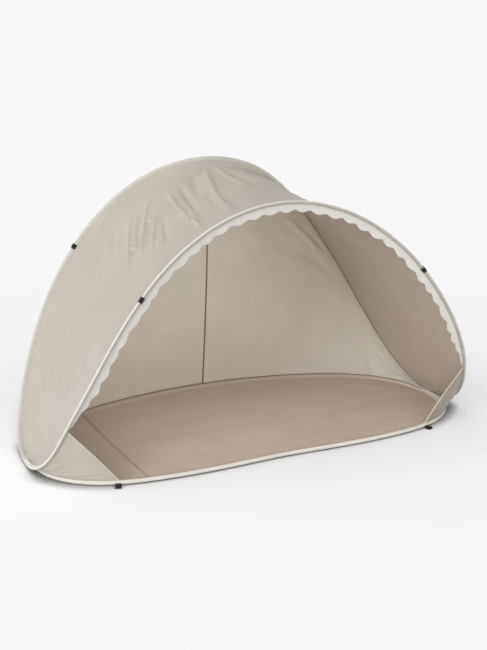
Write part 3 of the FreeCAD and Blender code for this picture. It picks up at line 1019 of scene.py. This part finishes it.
FLOOR_GRIDS = {}
for hoop, half in ((floor_rear, "rear"), (floor_front, "front")):
    grid = floor_points(hoop, 361, 81)
    FLOOR_GRIDS[half] = grid
    sheet = thin(
        "groundsheet_" + half, grid, "floor", "floor_fabric",
        far_edge_only=True, replaces=["floor_sheet_" + half],
    )
    blend_sheet(sheet, floor_share(grid[..., 1]))


def floor_height(half, x, y):
    """The height of the floor sheet at points, read off its grid column by column."""
    grid = FLOOR_GRIDS[half]
    columns = grid[:, 0, 0]
    place = np.interp(x, columns, np.arange(len(columns)))
    low = np.clip(place.astype(int), 0, len(columns) - 2)
    part = place - low
    heights = []
    for i, p, yy in zip(low, part, y):
        pair = [
            np.interp(abs(yy - FOLD[1]), np.abs(grid[k, :, 1] - FOLD[1]), grid[k, :, 2])
            for k in (i, i + 1)
        ]
        heights.append(pair[0] * (1 - p) + pair[1] * p)
    return np.array(heights)


FLOOR_TAPE_HALF_WIDTH = 0.0045
SHORT_OF_RING = 0.004


def floor_tape(half, side, name, material, lift, thickness):
    """A flat taped seam that lies on the floor sheet, follows its rise and fall, and bends a little."""
    direction, hoop = (1, floor_rear) if half == "rear" else (-1, floor_front)
    edge = floor_edge(hoop, np.linspace(0, 1, 400))
    ring_y = abs(edge[np.argmin(np.abs(edge[:, 0] - side * SEAM_X)), 1] - FOLD[1])
    y = FOLD[1] + direction * np.linspace(0.0, 1.0, 61) * (ring_y - SHORT_OF_RING)
    back = y - FOLD[1]
    centre_x = side * (SEAM_X + 0.0875 * back - 0.048 * back**2)
    lines = []
    for offset in np.linspace(-FLOOR_TAPE_HALF_WIDTH, FLOOR_TAPE_HALF_WIDTH, 5):
        x = centre_x + offset
        lines.append(np.stack([x, y, floor_height(half, x, y) + lift], -1))
    points = np.stack(lines, 1)
    ends = half + "_" + name
    thing = thin(
        "floor_cross_seam_" + ends, points, material, "seam_tape", thickness, replaces=["floor_seam_" + ends],
    )
    blend_sheet(thing, floor_share(points[..., 1]))


# The left-hand tape shows a little darker than the floor, and the right-hand one is nearly lost in it
for name, side, material, lift, thickness in (
    ("left", -1, "floor_seam", 0.0010, 0.0008),
    ("right", 1, "floor_tape", 0.0005, 0.0003),
):
    for half in ("rear", "front"):
        floor_tape(half, side, name, material, lift, thickness)


# -------- seams of the wall


WALL_TAPE = 0.0009
CORNER_CLEARANCE = 0.004


def wall_tape(name, edge, start, widths, lift, replaces):
    """A taped seam on the inner face of both halves of the wall, along the rear hoop or along the floor.

    It starts at a distance from the seam, and its width goes from the corner's to the middle's.
    """
    points, weights = [], []
    for side in (-1, 1):
        panel = wall_panel(side)
        u = np.linspace(0.0, 1.0, 321)[::-side]
        width = np.interp(u, (0, 1), widths)
        a, b, _ = panel.frame_at(u)
        clear = start + CORNER_CLEARANCE * smooth(1 - u / 0.08) * (edge == "top")
        from_seam = clear[:, None] + np.linspace(0.0, 1.0, 5) * width[:, None]
        share = from_seam / np.linalg.norm(b - a, axis=-1)[:, None]
        v = share if edge == "top" else 1 - share
        points.append(panel.at(u[:, None] * np.ones(5), v, lift)[side > 0 :])
        weights.append(wall_share(v, b[:, 1:2])[side > 0 :])
    thing = thin(name, np.vstack(points), "tape", "seam_tape", WALL_TAPE, replaces=replaces)
    blend_sheet(thing, np.vstack(weights))


wall_tape("wall_top_seam", "top", 0.0025, (0.0062, 0.0012), 0.0009, ["wall_top_tape"])
wall_tape("wall_foot_seam", "foot", -0.0012, (0.0048, 0.0042), 0.0014, ["wall_foot_tape"])

vs = np.linspace(0.004, 0.996, 161)
middle = wall_panel(-1).at(np.ones(161), vs, 0.0012)
half_width = 0.0042
points = np.stack([middle + (x, 0, 0) for x in np.linspace(-half_width, half_width, 5)], 1)
seam = thin("wall_middle_seam", points, "tape", "seam_tape", WALL_TAPE, replaces=["wall_centre_seam"])
blend_sheet(seam, np.repeat(wall_share(vs, middle[-1, 1]), 5))


# -------- scalloped trim


def trim_grid():
    """The trim hangs inwards from the front hoop, with its lobes fading out towards its two ends."""
    span = (1 - 2 * TRIM_FROM) * front.length
    lobes = round(span / TRIM_PITCH)
    f = np.linspace(TRIM_FROM, 1 - TRIM_FROM, lobes * 16 + 1)
    place, along = front.at(f), front.along(f)
    inward = square(TRIM_CENTRE - place, along)
    normal = np.cross(along, inward)
    s = f * front.length
    phase = np.linspace(0, lobes, len(f))
    uneven = phase + 0.10 * wander(s, (0.33,), 73)
    wave = (0.5 - 0.5 * np.cos(2 * np.pi * uneven)) ** 0.7
    ends = smooth(np.minimum(phase, lobes - phase) / 2.6)
    depth = (0.022 + 0.003 * wander(s, (0.4, 0.25), 74) + 0.012 * wave) * (0.12 + 0.88 * ends)
    v = np.linspace(0, 1, 13)
    flutter = 0.0025 * wander(s, (0.16, 0.09), 71)[:, None] * v[None] ** 1.5
    reach = SLEEVE_EDGE + (depth[:, None] + SLEEVE_EDGE) * v[None]
    points = place[:, None] + inward[:, None] * reach[..., None]
    return points + normal[:, None] * flutter[..., None]


grid = trim_grid()
trim = thin(
    "scalloped_valance", grid, "trim", "trim_fabric", body="front_hoop", replaces=["scalloped_trim"],
)


# -------- webbing


BAND_WIDTH, BAND = 0.025, 0.0014


def band(label, hoop, fraction, path):
    """A strip of webbing along a line of (out, up) points beside a hoop, on the side of its CAD loop."""
    node = "peg_loop_" + label
    place, along = hoop.at(np.array(fraction)), hoop.along(np.array(fraction))
    outward = square(box_middle(node) - place, along)
    path = np.array(path)
    line = place + outward * path[:, :1] + np.cross(along, outward) * path[:, 1:]
    across = np.linspace(-BAND_WIDTH / 2, BAND_WIDTH / 2, 9)
    points = line[:, None] + along * across[None, :, None]
    return thin("webbing_" + label, points, "webbing", "webbing", BAND, replaces=[node])


def strap_path():
    """Round the sleeve: in from the seam on one face, slack on the outside, back on the other."""
    turns = np.linspace(-math.pi / 2, math.pi / 2, 21)
    middle, radius = 0.0045, 0.0092
    nose = [(middle + radius * math.cos(t), radius * math.sin(t)) for t in turns]
    tail = [(-0.0110, 0.0030), (-0.0085, 0.0048), (-0.0045, 0.0078), (0.0, 0.0090)]
    return [(x, -y) for x, y in tail] + nose + tail[::-1]


def loop_path():
    """Out from the floor ring, round a drop-shaped eye, and back."""
    turns = np.linspace(-math.pi / 2, math.pi / 2, 15)
    eye, radius = 0.0370, 0.0037
    nose = [(eye + radius * math.cos(t), radius * math.sin(t)) for t in turns]
    leg = [(0.0060, 0.0008), (0.0120, 0.0008), (0.0190, 0.0009), (0.0270, 0.0024), (0.0330, 0.0034)]
    return [(x, -y) for x, y in leg] + nose + leg[::-1]


FRONT_TAB, REAR_TAB, FLOOR_TAB = 0.300, 0.295, 0.205
for side, name in SIDES:
    for hoop, body, fraction, path in (
        (front, "front_hoop", FRONT_TAB, strap_path()),
        (rear, "rear_hoop", REAR_TAB, strap_path()),
        (floor_front, "floor_front", FLOOR_TAB, loop_path()),
        (floor_rear, "floor_rear", FLOOR_TAB, loop_path()),
    ):
        f = fraction if side < 0 else 1 - fraction
        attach(band(body + "_" + name, hoop, f, path), body)


# -------- corner wraps


WRAP_RADIUS, WRAP_REACH, WRAP_WAIST = 0.0112, 0.026, 0.82


def corner_binding(side, name):
    """A patch of binding stitched round both rings where they lie side by side on the fold line."""
    floor_mid = box_middle("corner_wrap_" + name)
    canopy_mid = rear.at(np.array(0.0 if side < 0 else 1.0))
    middle = (floor_mid + canopy_mid) / 2
    reach = abs(canopy_mid[0] - floor_mid[0]) / 2
    turns = np.linspace(-math.pi / 2, math.pi / 2, 13)
    right = [(reach + WRAP_RADIUS * math.cos(t), WRAP_RADIUS * math.sin(t)) for t in turns]
    left = [(-x, -z) for x, z in right]
    outline = []
    for x, z in right + left:
        pinch = WRAP_WAIST + (1 - WRAP_WAIST) * min(1.0, abs(x) / reach)
        outline.append((x, z * pinch))
    y = np.linspace(-WRAP_REACH, WRAP_REACH, 27)
    centre = middle + np.stack([0 * y, y, 0 * y], -1)
    out = np.tile([1.0, 0, 0], (len(y), 1))
    up = np.tile([0, 0, 1.0], (len(y), 1))
    swell = 1 - 0.10 * smooth((np.abs(y) - 0.020) / 0.006)
    return swept(
        "corner_binding_" + name, centre, out, up, np.array(outline), "sleeve", "binding", swell,
        body="rear_hoop", replaces=["corner_wrap_" + name],
    )


for side, name in SIDES:
    corner_binding(side, name)

for node in frame["nodes"].values():
    if not node.hide_render:
        node.data.materials.clear()
        node.data.materials.append(MATERIALS["steel"])


# -------- camera, light and floor

CAMERA_PLACE = (-1.786, FOLD[1] - 3.943, 1.774)
CAMERA_AZIMUTH = -24.2
CAMERA_PITCH = -16.25
CAMERA_LENS = 51.3

camera = link("camera", bpy.data.cameras.new("camera"))
camera.data.lens = CAMERA_LENS
camera.location = CAMERA_PLACE
camera.rotation_euler = (math.radians(90 + CAMERA_PITCH), 0, math.radians(CAMERA_AZIMUTH))
bpy.context.scene.camera = camera

BACKDROP = (0.93, 0.93, 0.93, 1)
off_lamps = bpy.data.collections.new("off_lamps")


def lamp(name, kind, place, towards, energy, **settings):
    """A lamp that shines from a place in a direction."""
    data = bpy.data.lights.new(name, kind)
    data.energy = energy
    for key, value in settings.items():
        setattr(data, key, value)
    thing = link(name, data)
    thing.location = place
    pitch = math.atan2(math.hypot(towards[0], towards[1]), -towards[2])
    thing.rotation_euler = (pitch, 0, math.atan2(towards[1], towards[0]) - math.pi / 2)
    return thing


# A broad distant lamp, which leaves the ground alone
key = lamp("key", "SUN", (-3.4, -2.2, 1.8), (3.4, 2.2, -1.8), 0.90, angle=math.radians(25))
key.light_linking.receiver_collection = off_lamps

# Soft lamps close under the canopy, for the daylight that comes through the thin cloth
for name, place, towards, size, watts in (
    ("glow_left", (-0.70, -0.10, 0.60), (0.8, 0.1, -0.6), 0.3, 1.0),
    ("glow_top", (-0.10, -0.24, 0.86), (0.0, 1.0, -0.25), 0.4, 1.5),
):
    glow = lamp(name, "AREA", place, towards, watts, shape="DISK", size=size)
    glow.visible_camera = False
    glow.visible_glossy = False


def studio_sky(bright_side, dim, bright):
    """The camera sees an even backdrop, and the cloth is lit by a sky that is brightest on one side."""
    sky = Nodes(bpy.data.worlds.new("studio"))
    toward = sky.new("ShaderNodeVectorMath", operation="DOT_PRODUCT")
    sky.put(sky.new("ShaderNodeTexCoord").outputs["Generated"], toward.inputs[0])
    toward.inputs[1].default_value = unit(np.array(bright_side, float))
    light = sky.spread(toward.outputs["Value"], -0.4, 0.9, dim, bright)
    seen = sky.new("ShaderNodeLightPath").outputs["Is Camera Ray"]
    sky.put(sky.mix(seen, light, BACKDROP), sky.tree.nodes["Background"].inputs[0])
    return sky.owner


bpy.context.scene.world = studio_sky((-0.74, -0.64, 0.18), dim=0.18, bright=2.0)
bpy.context.scene.view_settings.view_transform = "Standard"

# Painted contact shadow: the ground is darker, and glows less, where something stands close over it, as under
# the floor ring
CONTACT_SHADOW_REACH = 0.07
CONTACT_SHADOW_TONE = (0.26, 0.26, 0.26, 1)
GROUND_TONE = (0.85, 0.85, 0.85, 1)
GROUND_REACH = 400.0
GROUND_DROP = 0.0005

look = Nodes(bpy.data.materials.new("ground"))
contact_shadow = look.new("ShaderNodeAmbientOcclusion", samples=8)
contact_shadow.inputs["Distance"].default_value = CONTACT_SHADOW_REACH
opened = look.spread(contact_shadow.outputs["AO"], 0.35, 0.95, 0.0, 1.0)
# Base colour and glow both fall to the painted contact shadow where little is open above
look.surface(
    Base_Color=look.mix(opened, CONTACT_SHADOW_TONE, GROUND_TONE), Roughness=1.0, Specular_IOR_Level=0.0,
    Emission_Color=look.mix(opened, (0, 0, 0, 1), (1, 1, 1, 1)), Emission_Strength=0.118,
)
ground = bpy.data.meshes.new("ground")
corners = [(x * GROUND_REACH, y * GROUND_REACH, 0) for x, y in ((-1, -1), (1, -1), (1, 1), (-1, 1))]
ground.from_pydata(corners, [], [(0, 1, 2, 3)])
ground.materials.append(look.owner)
ground_object = link("ground", ground)
ground_object.location.z = min(0.0, CAD_LO.z) - GROUND_DROP
off_lamps.objects.link(ground_object)
off_lamps.collection_objects[0].light_linking.link_state = "EXCLUDE"
